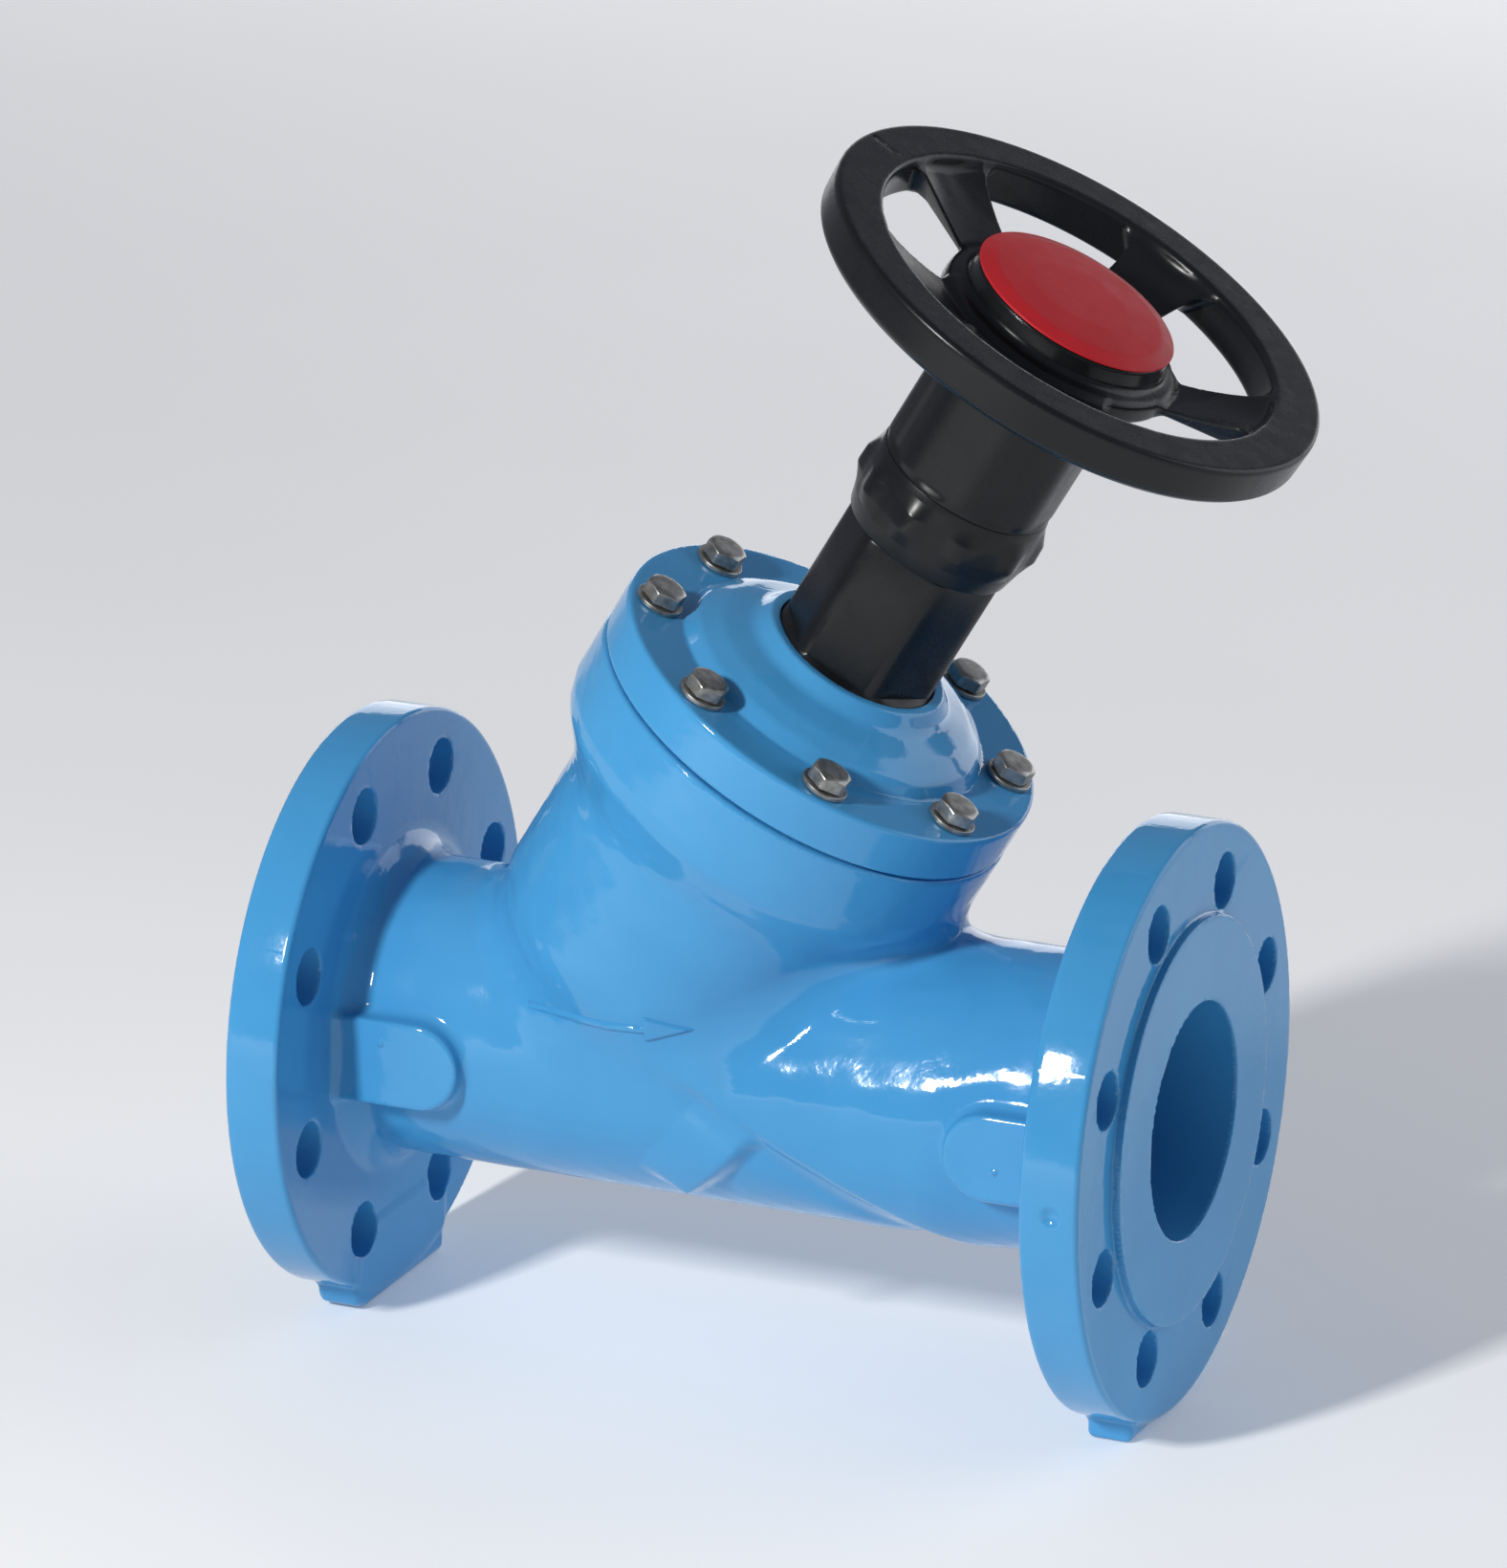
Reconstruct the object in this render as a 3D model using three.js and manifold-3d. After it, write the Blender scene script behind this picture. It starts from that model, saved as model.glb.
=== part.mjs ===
// Y-pattern flanged globe valve, DN 80, PN 16, with a rising handwheel on an
// inclined stem.  Millimetres, +Z up.  The part stands on the foot bars under
// its two flanges: z = 0 is the underside of the feet, and the origin is at
// the centre of the footprint of the whole valve.
import * as THREE from 'three';
import { mergeVertices } from 'three/addons/utils/BufferGeometryUtils.js';
import Module from 'manifold-3d';

const wasm = await Module();
wasm.setup();

// ---------------------------------------------------------------- dimensions
// placing of the pipe axis in the part's frame
const SHIFT_X = -14.673;            // pipe mid-point to the middle of the footprint
const AXIS_H = 103;                // pipe axis above the underside of the feet
// pipe run and flanges (EN 1092-2 PN 16, EN 558-1 series 1)
const F2F = 310;                   // face to face
const FLANGE_R = 100;
const FLANGE_BACK = 133;           // |x| of a flange's back face
const RIM_FACE = 152;              // |x| of a rim's outer face
const RAISED_R = 69;
const BORE_R = 40;
const PIPE_R = 50.8;
const HOLE_R = 9.5;
const HOLE_PCR = 80;               // radius of the bolt circle
const HOLES = 8;
// foot bars under the flanges
const FOOT_W = 70;
const FOOT_T = 15.6;
// stem axis
const STEM_X = -52.15;             // where it crosses the pipe axis
const STEM_TILT = 30;              // degrees from vertical, towards the outlet
const LIFT = 22;                   // full travel of the disc
// heights along the stem axis, from the pipe axis
const BRIDGE_LO = 14;              // inlet side of the bridge wall
const SEAT_TOP = 26;               // sealing face of the seat ring
const BODY_TOP = 133.7;            // body's bonnet face
const BON_LO = 134.7;              // underside of the bonnet flange
const BON_HI = 151.2;              // top face of the bonnet flange
const BRANCH_R = 62.5;
const COLLAR_R = 76.5;
const CHAMBER_R = 52;
const BOLT_PCR = 65.7;             // radius of the bonnet bolt circle
const BOLTS = 8;
const STEM_R = 11;
const BARREL_R = 28;
const SKIRT_R = 30.1;
const WHEEL_R = 89.6;
const WHEEL_IN_R = 72;
const WHEEL_LO = 304;
const WHEEL_HI = 319.4;
const CAP_R = 36.8;
const SPOKES = 5;
const SPOKE_ANGLE = 156;           // first spoke, about the stem axis, degrees
const GAP = 0.3;                   // between pieces that touch

// ---------------------------------------------------------------- helpers
const DEG = Math.PI / 180;

function toSolid(geometry) {
  const g = geometry.clone();
  g.deleteAttribute('normal');
  g.deleteAttribute('uv');
  const m = mergeVertices(g, 1e-4);
  const p = m.attributes.position.array;
  const src = m.index.array;
  const tri = [];
  let volume = 0;
  for (let i = 0; i < src.length; i += 3) {
    const [a, b, c] = [src[i], src[i + 1], src[i + 2]];
    if (a === b || b === c || a === c) continue;
    tri.push(a, b, c);
    const [A, B, C] = [a, b, c].map((k) => [p[3 * k], p[3 * k + 1], p[3 * k + 2]]);
    volume += A[0] * (B[1] * C[2] - B[2] * C[1]) - A[1] * (B[0] * C[2] - B[2] * C[0])
      + A[2] * (B[0] * C[1] - B[1] * C[0]);
  }
  if (volume < 0) {
    for (let i = 0; i < tri.length; i += 3) {
      const t = tri[i + 1]; tri[i + 1] = tri[i + 2]; tri[i + 2] = t;
    }
  }
  return new wasm.Manifold(new wasm.Mesh({
    numProp: 3, vertProperties: new Float32Array(p), triVerts: new Uint32Array(tri) }));
}

function toGeometry(solid) {
  const mesh = solid.getMesh();
  const n = mesh.numProp;
  const count = mesh.vertProperties.length / n;
  const pos = new Float32Array(count * 3);
  for (let i = 0; i < count; i++) {
    for (let k = 0; k < 3; k++) pos[3 * i + k] = mesh.vertProperties[n * i + k];
  }
  const g = new THREE.BufferGeometry();
  g.setAttribute('position', new THREE.BufferAttribute(pos, 3));
  g.setIndex(new THREE.BufferAttribute(new Uint32Array(mesh.triVerts), 1));
  return g;
}

// a turned solid about Z from [radius, z] points; closes on itself off the axis
function turned(points, segments, turn = 0) {
  const pts = points.map(([r, z]) => new THREE.Vector2(r, z));
  const first = points[0], last = points[points.length - 1];
  if (!(first[0] === 0 && last[0] === 0)) pts.push(new THREE.Vector2(first[0], first[1]));
  const g = new THREE.LatheGeometry(pts, segments);
  g.rotateX(Math.PI / 2);
  g.rotateZ(turn);
  return toSolid(g);
}

function ring(rIn, rOut, lo, hi, segments) {
  return turned([[rIn, lo], [rOut, lo], [rOut, hi], [rIn, hi]], segments);
}

function rod(r, lo, hi, segments, turn = 0) {
  return turned([[0, lo], [r, lo], [r, hi], [0, hi]], segments, turn);
}

function block(x0, x1, y0, y1, z0, z1) {
  const g = new THREE.BoxGeometry(x1 - x0, y1 - y0, z1 - z0);
  g.translate((x0 + x1) / 2, (y0 + y1) / 2, (z0 + z1) / 2);
  return toSolid(g);
}

// a prism of an outline [x, y] along Z
function prism(outline, lo, hi) {
  const shape = new THREE.Shape(outline.map(([x, y]) => new THREE.Vector2(x, y)));
  const g = new THREE.ExtrudeGeometry(shape, { depth: hi - lo, bevelEnabled: false, steps: 1 });
  g.translate(0, 0, lo);
  return toSolid(g);
}

function moved(solid, matrix) {
  return solid.transform(matrix.elements.slice());
}

const alongX = new THREE.Matrix4().makeRotationY(Math.PI / 2);       // z -> x
const tilt = new THREE.Matrix4().makeTranslation(STEM_X, 0, 0)
  .multiply(new THREE.Matrix4().makeRotationY(STEM_TILT * DEG));     // z -> stem axis

function shift(x, y, z) { return new THREE.Matrix4().makeTranslation(x, y, z); }
function about(angle) { return new THREE.Matrix4().makeRotationZ(angle); }

// ---------------------------------------------------------------- materials
const finish = (color, roughness, metalness) =>
  new THREE.MeshStandardMaterial({ color, roughness, metalness });
const BLUE = [0x3f8ccb, 0.3, 0.0];
const BLACK = [0x26292c, 0.45, 0.0];
const RED = [0xa52b34, 0.4, 0.0];
const ZINC = [0x9a9a98, 0.35, 0.9];
const BRASS = [0xb08d4f, 0.3, 0.9];
const STAINLESS = [0xb9bcbe, 0.25, 0.95];
const RUBBER = [0x1b1b1c, 0.8, 0.0];

// ---------------------------------------------------------------- groups
const valve = new THREE.Group();
valve.name = 'globe_valve';
const line = new THREE.Group();                     // origin on the pipe axis, mid-way
line.position.set(SHIFT_X, 0, AXIS_H);
valve.add(line);
const stemLine = new THREE.Group();                 // z along the stem axis
stemLine.position.set(STEM_X, 0, 0);
stemLine.rotation.set(0, STEM_TILT * DEG, 0);
line.add(stemLine);

function add(parent, name, solid, look) {
  const mesh = new THREE.Mesh(toGeometry(solid), finish(...look));
  mesh.name = name;
  parent.add(mesh);
  return mesh;
}

// ---------------------------------------------------------------- body casting
function makeBody() {
  const h = F2F / 2;
  let s = moved(turned([
    [0, -h], [RAISED_R, -h], [RAISED_R, -RIM_FACE], [FLANGE_R, -RIM_FACE], [FLANGE_R, -FLANGE_BACK], [60.5, -FLANGE_BACK],
    [54.5, -130], [PIPE_R, -121],
    [PIPE_R, 121], [54.5, 130], [60.5, FLANGE_BACK], [FLANGE_R, FLANGE_BACK],
    [FLANGE_R, RIM_FACE], [RAISED_R, RIM_FACE],
    [RAISED_R, h], [0, h]], 40), alongX);
  // inclined branch, from the bridge up to the bonnet face
  s = s.add(moved(turned([
    [0, 4], [36, 4], [47, 17], [58, 29], [BRANCH_R, 36],
    [BRANCH_R, 84], [66, 94], [73.5, 105], [COLLAR_R, 113],
    [COLLAR_R, BODY_TOP], [0, BODY_TOP]], 36), tilt));
  // foot bars, flush with the flanges' back faces
  for (const side of [-1, 1]) {
    const a = side * FLANGE_BACK, b = side * (FLANGE_BACK + FOOT_T);
    s = s.add(block(Math.min(a, b), Math.max(a, b), -FOOT_W / 2, FOOT_W / 2, -AXIS_H, -80));
  }
  // blank gauge pads on the near side, against each flange
  const pad = [];
  for (let i = 0; i <= 6; i++) {
    const t = (-90 + 30 * i) * DEG;
    pad.push([15 * Math.cos(t), 15 * Math.sin(t)]);
  }
  pad.push([-31, 15], [-31, -15]);
  const outward = new THREE.Matrix4().makeRotationX(Math.PI / 2);    // z -> -y
  s = s.add(moved(prism(pad, 42, 56.5), shift(-102.5, 0, -3).multiply(outward)));
  s = s.add(moved(prism(pad, 42, 56.5),
    shift(102.5, 0, -3).multiply(outward).multiply(about(Math.PI))));

  // ways through
  const bore = moved(rod(BORE_R, -h - 5, h + 5, 32), alongX);
  const below = moved(rod(420, -420, BRIDGE_LO, 4, Math.PI / 4), tilt);
  const above = moved(rod(420, SEAT_TOP, 420, 4, Math.PI / 4), tilt);
  s = s.subtract(bore.intersect(below));
  s = s.subtract(bore.intersect(above));
  s = s.subtract(moved(turned([
    [0, 2], [38, 2], [38, 15.7], [45.3, 15.7], [45.3, SEAT_TOP], [47, SEAT_TOP],
    [CHAMBER_R, 36], [CHAMBER_R, BODY_TOP - 1], [60.5, BODY_TOP - 1],
    [60.5, BODY_TOP + 5], [0, BODY_TOP + 5]], 36), tilt));
  for (let i = 0; i < HOLES; i++) {
    const t = (22.5 + i * 360 / HOLES) * DEG;
    const at = shift(0, HOLE_PCR * Math.sin(t), HOLE_PCR * Math.cos(t)).multiply(alongX);
    s = s.subtract(moved(rod(HOLE_R, FLANGE_BACK - 6, h + 5, 10), at));
    s = s.subtract(moved(rod(HOLE_R, -h - 5, -FLANGE_BACK + 6, 10), at));
  }
  for (let i = 0; i < BOLTS; i++) {
    const t = (22.5 + i * 360 / BOLTS) * DEG;
    const at = tilt.clone().multiply(
      shift(BOLT_PCR * Math.cos(t), BOLT_PCR * Math.sin(t), 0));
    s = s.subtract(moved(rod(4.3, 116, BODY_TOP + 5, 8), at));
  }
  return s;
}
add(line, 'body', makeBody(), BLUE);

// ---------------------------------------------------------------- seat and disc
add(stemLine, 'seat_ring', turned([
  [38, 16], [45, 16], [45, SEAT_TOP], [39, SEAT_TOP],
  [38, SEAT_TOP - 1]], 36), STAINLESS);

add(stemLine, 'disc_seal', ring(30, 43.6, SEAT_TOP + GAP, 29.8, 32), RUBBER);

add(stemLine, 'seal_retainer', turned([
  [5.4, 20], [36.8, 20], [36.8, 26], [29.5, 26], [29.5, 29.8],
  [5.4, 29.8]], 32), STAINLESS);

add(stemLine, 'retainer_screw',
  rod(9.2, 13.5, 19.7, 6).add(rod(4.8, 19, 38, 12)), STAINLESS);

add(stemLine, 'disc', turned([
  [0, 40], [5.1, 40], [5.1, 30.1], [44, 30.1], [44, 37], [23.5, 44], [23.5, 66], [18.3, 66], [18.3, 54.6], [14.5, 54.6], [14.5, 45],
  [0, 45]], 32), STAINLESS);

add(stemLine, 'thrust_pad', rod(13.6, 45.3, 46.7, 20), BRASS);

add(stemLine, 'disc_nut', turned([
  [11.5, 54.9], [18, 54.9], [18, 66.4], [21.5, 66.4], [21.5, 69], [11.5, 69]], 24), BRASS);

// ---------------------------------------------------------------- stem and its bush
add(stemLine, 'stem',
  turned([[0, 47], [14, 47], [14, 54.3], [STEM_R, 54.3], [STEM_R, 294], [0, 294]], 20)
    .add(prism([[-7, -7], [7, -7], [7, 7], [-7, 7]], 293, 302.4))
    .subtract(rod(5.1, 276, 310, 12)), STAINLESS);

add(stemLine, 'stem_bush', turned([
  [11.4, 128], [15.8, 128], [15.8, 163.9], [21.5, 163.9], [21.5, 172],
  [11.4, 172], [11.4, 149], [14.4, 149], [14.4, 145.4], [11.4, 145.4],
  [11.4, 139.6], [14.4, 139.6], [14.4, 136], [11.4, 136]], 20), BRASS);

function oRing(z) {
  const c = 12.75, r = 1.35, pts = [];
  for (let i = 0; i < 6; i++) {
    pts.push([c + r * Math.cos(i * 60 * DEG), z + r * Math.sin(i * 60 * DEG)]);
  }
  return turned(pts, 20);
}
add(stemLine, 'stem_o_ring_lower', oRing(137.8), RUBBER);
add(stemLine, 'stem_o_ring_upper', oRing(147.2), RUBBER);

// ---------------------------------------------------------------- bonnet
function makeBonnet() {
  let s = turned([
    [16.1, 126], [24, 126], [27, 140], [44, 140], [46, 126], [51.6, 126],
    [51.6, BON_LO], [76.3, BON_LO], [76.3, BON_HI],
    [55.2, BON_HI], [53.4, 154.4], [47, 159.4],
    [36.2, 163.2], [32.4, 168.4], [28.9, 168.4],
    [28.9, 160], [16.1, 160]], 36);
  for (let i = 0; i < BOLTS; i++) {
    const t = (22.5 + i * 360 / BOLTS) * DEG;
    s = s.subtract(moved(rod(4.6, 130, 155, 8),
      shift(BOLT_PCR * Math.cos(t), BOLT_PCR * Math.sin(t), 0)));
  }
  return s;
}
add(stemLine, 'bonnet', makeBonnet(), BLUE);
add(stemLine, 'bonnet_gasket', ring(52.6, 60, 133, 134.4, 32), RUBBER);

for (let i = 0; i < BOLTS; i++) {
  const t = (22.5 + i * 360 / BOLTS) * DEG;
  const g = new THREE.Group();
  g.position.set(BOLT_PCR * Math.cos(t), BOLT_PCR * Math.sin(t), 0);
  g.rotation.z = t + (i * 17 % 60) * DEG;
  stemLine.add(g);
  add(g, `bonnet_bolt_${i + 1}`,
    rod(7.5, 153.4, 158.7, 6).add(rod(3.9, 120, 153.6, 8)), ZINC);
  add(g, `bonnet_washer_${i + 1}`, ring(4.4, 8.1, BON_HI + GAP, 153.1, 14), ZINC);
}

// ---------------------------------------------------------------- scale barrel
// round in the bonnet's socket, eight-sided where it shows, and round again above,
// where the wheel's skirt slides
function octagon(r, cut) {
  const pts = [];
  for (let i = 0; i < 8; i++) {
    const t = (22.5 + 45 * i) * DEG;
    for (const d of [-cut, cut]) pts.push([r * Math.cos(t + d * DEG), r * Math.sin(t + d * DEG)]);
  }
  return pts;
}
add(stemLine, 'scale_barrel',
  prism(octagon(BARREL_R + 0.2, 7), 160.3, 216.6).add(rod(28.6, 160.3, 168.1, 36))
    .add(rod(26.2, 215, 286, 28))
    .subtract(rod(16.2, 150, 165, 20)).subtract(rod(23.2, 163.6, 300, 28)), BLACK);

// ---------------------------------------------------------------- handwheel
function makeWheel() {
  const seg = 36;
  // skirt and hub
  let s = turned([
    [0, 294.4], [26.8, 294.4], [26.8, 218], [29, 218], [29, 242], [SKIRT_R, 242],
    [SKIRT_R, 288], [42, 301], [42, 306.5], [36.2, 309.4], [36.2, 315.9],
    [30.6, 315.9], [30.6, 302.6], [0, 302.6]], seg);
  s = s.subtract(
    prism([[-7.35, -7.35], [7.35, -7.35], [7.35, 7.35], [-7.35, 7.35]], 290, 310));
  // rim
  s = s.add(turned([
    [WHEEL_IN_R + 1, WHEEL_LO], [86.5, WHEEL_LO], [88.6, WHEEL_LO + 2.5],
    [WHEEL_R, WHEEL_HI - 1.6], [88.2, WHEEL_HI], [WHEEL_IN_R, WHEEL_HI]], seg));
  // spokes: wide at the top by the rim, falling towards the hub
  for (let i = 0; i < SPOKES; i++) {
    const t = (SPOKE_ANGLE + i * 360 / SPOKES) * DEG;
    const p = [
      [38, -15, 308], [38, 15, 308], [38, -17, 300], [38, 17, 300],
      [74, -17, 316], [74, 17, 316], [74, -7, 306], [74, 7, 306]];
    const g = new THREE.BufferGeometry();
    g.setAttribute('position', new THREE.BufferAttribute(new Float32Array(p.flat()), 3));
    g.setIndex([0, 4, 5, 0, 5, 1, 2, 3, 7, 2, 7, 6, 0, 1, 3, 0, 3, 2,
      4, 6, 7, 4, 7, 5, 0, 2, 6, 0, 6, 4, 1, 5, 7, 1, 7, 3]);
    s = s.add(moved(toSolid(g), about(t)).subtract(rod(31, 290, 325, seg)));
  }
  // index notch in the rim's top face
  const notch = block(77.5, 87.5, -0.7, 0.7, WHEEL_HI - 0.8, WHEEL_HI + 1);
  s = s.subtract(moved(notch, about(176.5 * DEG)));
  return s;
}
add(stemLine, 'handwheel', makeWheel(), BLACK);

// lobed index collar on the lower end of the skirt
function makeCollar() {
  const lobes = [];
  for (let i = 0; i < 20; i++) {
    const t = i * 18 * DEG;
    const r = i % 2 ? 31.3 : 33.8;
    lobes.push([r * Math.cos(t), r * Math.sin(t)]);
  }
  const cone = turned([
    [0, 217.2], [30, 217.2], [34.2, 226], [34.2, 234], [31, 241.7], [0, 241.7]], 20);
  return prism(lobes, 216, 243).intersect(cone).subtract(rod(29.4, 217.7, 250, 36))
    .subtract(rod(27, 210, 250, 36));
}
add(stemLine, 'index_collar', makeCollar(), BLACK);

add(stemLine, 'handwheel_washer', ring(5.3, 14.5, 302.9, 304.9, 16), ZINC);
add(stemLine, 'handwheel_screw',
  rod(9.2, 305.2, 311.4, 6).add(rod(4.8, 281, 306, 12)), ZINC);
add(stemLine, 'cap', turned([
  [0, 316.2], [28.4, 316.2], [28.4, 309], [30.2, 309], [30.2, 316.2], [CAP_R, 316.2],
  [CAP_R, 317.4], [26, 318.8], [0, 319.5]], 36), RED);

export default valve;
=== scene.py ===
import math
from concurrent.futures import ThreadPoolExecutor

import bpy
import numpy as np
from mathutils import Matrix, Vector


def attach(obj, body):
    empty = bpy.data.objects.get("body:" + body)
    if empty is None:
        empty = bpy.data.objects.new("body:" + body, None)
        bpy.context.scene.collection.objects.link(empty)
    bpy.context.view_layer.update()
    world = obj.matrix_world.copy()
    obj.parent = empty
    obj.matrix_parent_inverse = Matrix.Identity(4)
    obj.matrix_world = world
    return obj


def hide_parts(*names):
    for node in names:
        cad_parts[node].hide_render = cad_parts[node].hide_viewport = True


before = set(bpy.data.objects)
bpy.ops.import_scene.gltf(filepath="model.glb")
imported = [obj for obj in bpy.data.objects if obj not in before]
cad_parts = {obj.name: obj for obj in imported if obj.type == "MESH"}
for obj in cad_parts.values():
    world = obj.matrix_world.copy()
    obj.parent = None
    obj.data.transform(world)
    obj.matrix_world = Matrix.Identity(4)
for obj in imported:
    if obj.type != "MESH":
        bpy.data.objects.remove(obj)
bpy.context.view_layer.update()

SHIFT_X, AXIS_H, STEM_X = -14.673, 103.0, -52.15
TILT = math.radians(30.0)
SX, SZ = math.sin(TILT), math.cos(TILT)

# row frame <- pipe frame, and row frame <- stem frame (metres <- millimetres)
PIPE_R = np.eye(3)
PIPE_T = np.array([SHIFT_X, 0.0, AXIS_H])
STEM_R = np.array([[SZ, 0.0, SX], [0.0, 1.0, 0.0], [-SX, 0.0, SZ]])
STEM_T = np.array([SHIFT_X + STEM_X, 0.0, AXIS_H])


# ---------------------------------------------------------------- 2D profiles
def rounded(points, closed=True, step=0.5):
    """Segments (p0, p1, n0, n1) of a polygon of (r, z[, radius]) points, its
    corners rounded to their radii. Normals point to the right of the way."""
    pts = [np.array(p[:2], float) for p in points]
    rad = [float(p[2]) if len(p) > 2 else 0.0 for p in points]
    n = len(pts)
    start, end, arcs = [None] * n, [None] * n, [None] * n
    for i in range(n):
        a, b, c = pts[i - 1], pts[i], pts[(i + 1) % n]
        u, v = (a - b), (c - b)
        lu, lv = np.linalg.norm(u), np.linalg.norm(v)
        u, v = u / lu, v / lv
        ang = math.acos(max(-1.0, min(1.0, float(u @ v))))
        r = rad[i] if (closed or 0 < i < n - 1) else 0.0
        if r <= 0 or ang > math.pi - 1e-3:
            start[i] = end[i] = b
            continue
        t = min(r / math.tan(ang / 2), 0.49 * lu, 0.49 * lv)
        r = t * math.tan(ang / 2)
        bis = (u + v) / np.linalg.norm(u + v)
        centre = b + bis * (r / math.sin(ang / 2))
        p0, p1 = b + u * t, b + v * t
        a0 = math.atan2(*(p0 - centre)[::-1])
        a1 = math.atan2(*(p1 - centre)[::-1])
        d = (a1 - a0 + math.pi) % (2 * math.pi) - math.pi
        start[i], end[i], arcs[i] = p0, p1, (centre, r, a0, d)
    segs = []
    for i in range(n):
        if arcs[i] is not None:
            centre, r, a0, d = arcs[i]
            m = max(2, int(math.ceil(max(abs(d) / 0.3, abs(d) * r / step))))
            sign = 1.0 if d > 0 else -1.0
            for k in range(m):
                q0, q1 = a0 + d * k / m, a0 + d * (k + 1) / m
                n0 = np.array([math.cos(q0), math.sin(q0)])
                n1 = np.array([math.cos(q1), math.sin(q1)])
                segs.append((centre + r * n0, centre + r * n1, sign * n0, sign * n1))
        if closed or i < n - 1:
            p0, p1 = end[i], start[(i + 1) % n]
            d = p1 - p0
            l = np.linalg.norm(d)
            if l > 1e-6:
                nn = np.array([d[1], -d[0]]) / l
                segs.append((p0, p1, nn, nn))
    return segs


class Turned:
    """Signed distance to a closed (r, z) polygon, from a fine table."""

    def __init__(self, points, lo, hi, cell=0.35):
        segs = rounded(points, True, 0.6)
        self.lo, self.cell = np.array(lo, float), cell
        n = np.ceil((np.array(hi) - self.lo) / cell).astype(int) + 2
        self.n = n
        r = (self.lo[0] + cell * np.arange(n[0])).astype(np.float32)[:, None]
        z = (self.lo[1] + cell * np.arange(n[1])).astype(np.float32)[None, :]
        best = np.full((n[0], n[1]), 1e9, np.float32)
        wind = np.zeros((n[0], n[1]), bool)
        for p0, p1, _a, _b in segs:
            d = p1 - p0
            l2 = float(d @ d)
            if l2 < 1e-12:
                continue
            dr, dz = r - np.float32(p0[0]), z - np.float32(p0[1])
            t = np.clip((dr * np.float32(d[0]) + dz * np.float32(d[1])) / np.float32(l2), 0, 1)
            q = (dr - t * np.float32(d[0])) ** 2 + (dz - t * np.float32(d[1])) ** 2
            np.minimum(best, q, out=best)
            if abs(d[1]) > 1e-9:
                zlo, zhi = min(p0[1], p1[1]), max(p0[1], p1[1])
                hit = (z >= zlo) & (z < zhi)
                rr = p0[0] + (z - p0[1]) * (d[0] / d[1])
                wind ^= hit & (r < rr)
        self.t = np.where(wind, -1, 1).astype(np.float32) * np.sqrt(best)

    def __call__(self, r, z):
        a = (r - self.lo[0]) / self.cell
        b = (z - self.lo[1]) / self.cell
        ac = np.clip(a, 0, self.n[0] - 1.001)
        bc = np.clip(b, 0, self.n[1] - 1.001)
        i, j = ac.astype(np.int32), bc.astype(np.int32)
        fa, fb = ac - i, bc - j
        t = self.t
        v = ((t[i, j] * (1 - fa) + t[i + 1, j] * fa) * (1 - fb)
             + (t[i, j + 1] * (1 - fa) + t[i + 1, j + 1] * fa) * fb)
        return v + self.cell * np.hypot(a - ac, b - bc) * 0.7


def runion(a, b, r):
    return np.maximum(r, np.minimum(a, b)) - np.hypot(np.maximum(r - a, 0), np.maximum(r - b, 0))


def rcut(a, b, r):
    """a without b, its new edges rounded."""
    b = -b
    return np.minimum(-r, np.maximum(a, b)) + np.hypot(np.maximum(r + a, 0), np.maximum(r + b, 0))


def rmeet(a, b, r):
    return np.minimum(-r, np.maximum(a, b)) + np.hypot(np.maximum(r + a, 0), np.maximum(r + b, 0))


def smooth(t):
    t = np.clip(t, 0, 1)
    return t * t * (3 - 2 * t)


def rbox(x, y, z, cx, cy, cz, hx, hy, hz, r):
    qx, qy, qz = np.abs(x - cx) - hx + r, np.abs(y - cy) - hy + r, np.abs(z - cz) - hz + r
    out = np.sqrt(np.maximum(qx, 0) ** 2 + np.maximum(qy, 0) ** 2 + np.maximum(qz, 0) ** 2)
    return out + np.minimum(np.maximum(qx, np.maximum(qy, qz)), 0) - r


# ---------------------------------------------------------------- mesher
POOL = ThreadPoolExecutor(4)


def evaluate(f, p, size=60000):
    parts = [p[i:i + size] for i in range(0, len(p), size)]
    return np.concatenate(list(POOL.map(lambda q: f(q[:, 0], q[:, 1], q[:, 2]), parts)))


TETRA = np.array([[1, -1, -1], [-1, -1, 1], [-1, 1, -1], [1, 1, 1]], float)


def gradient(f, p, e):
    g = np.zeros_like(p)
    for k in TETRA:
        g += k * evaluate(f, p + e * k)[:, None]
    return g / np.maximum(np.linalg.norm(g, axis=1, keepdims=True), 1e-9)


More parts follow.
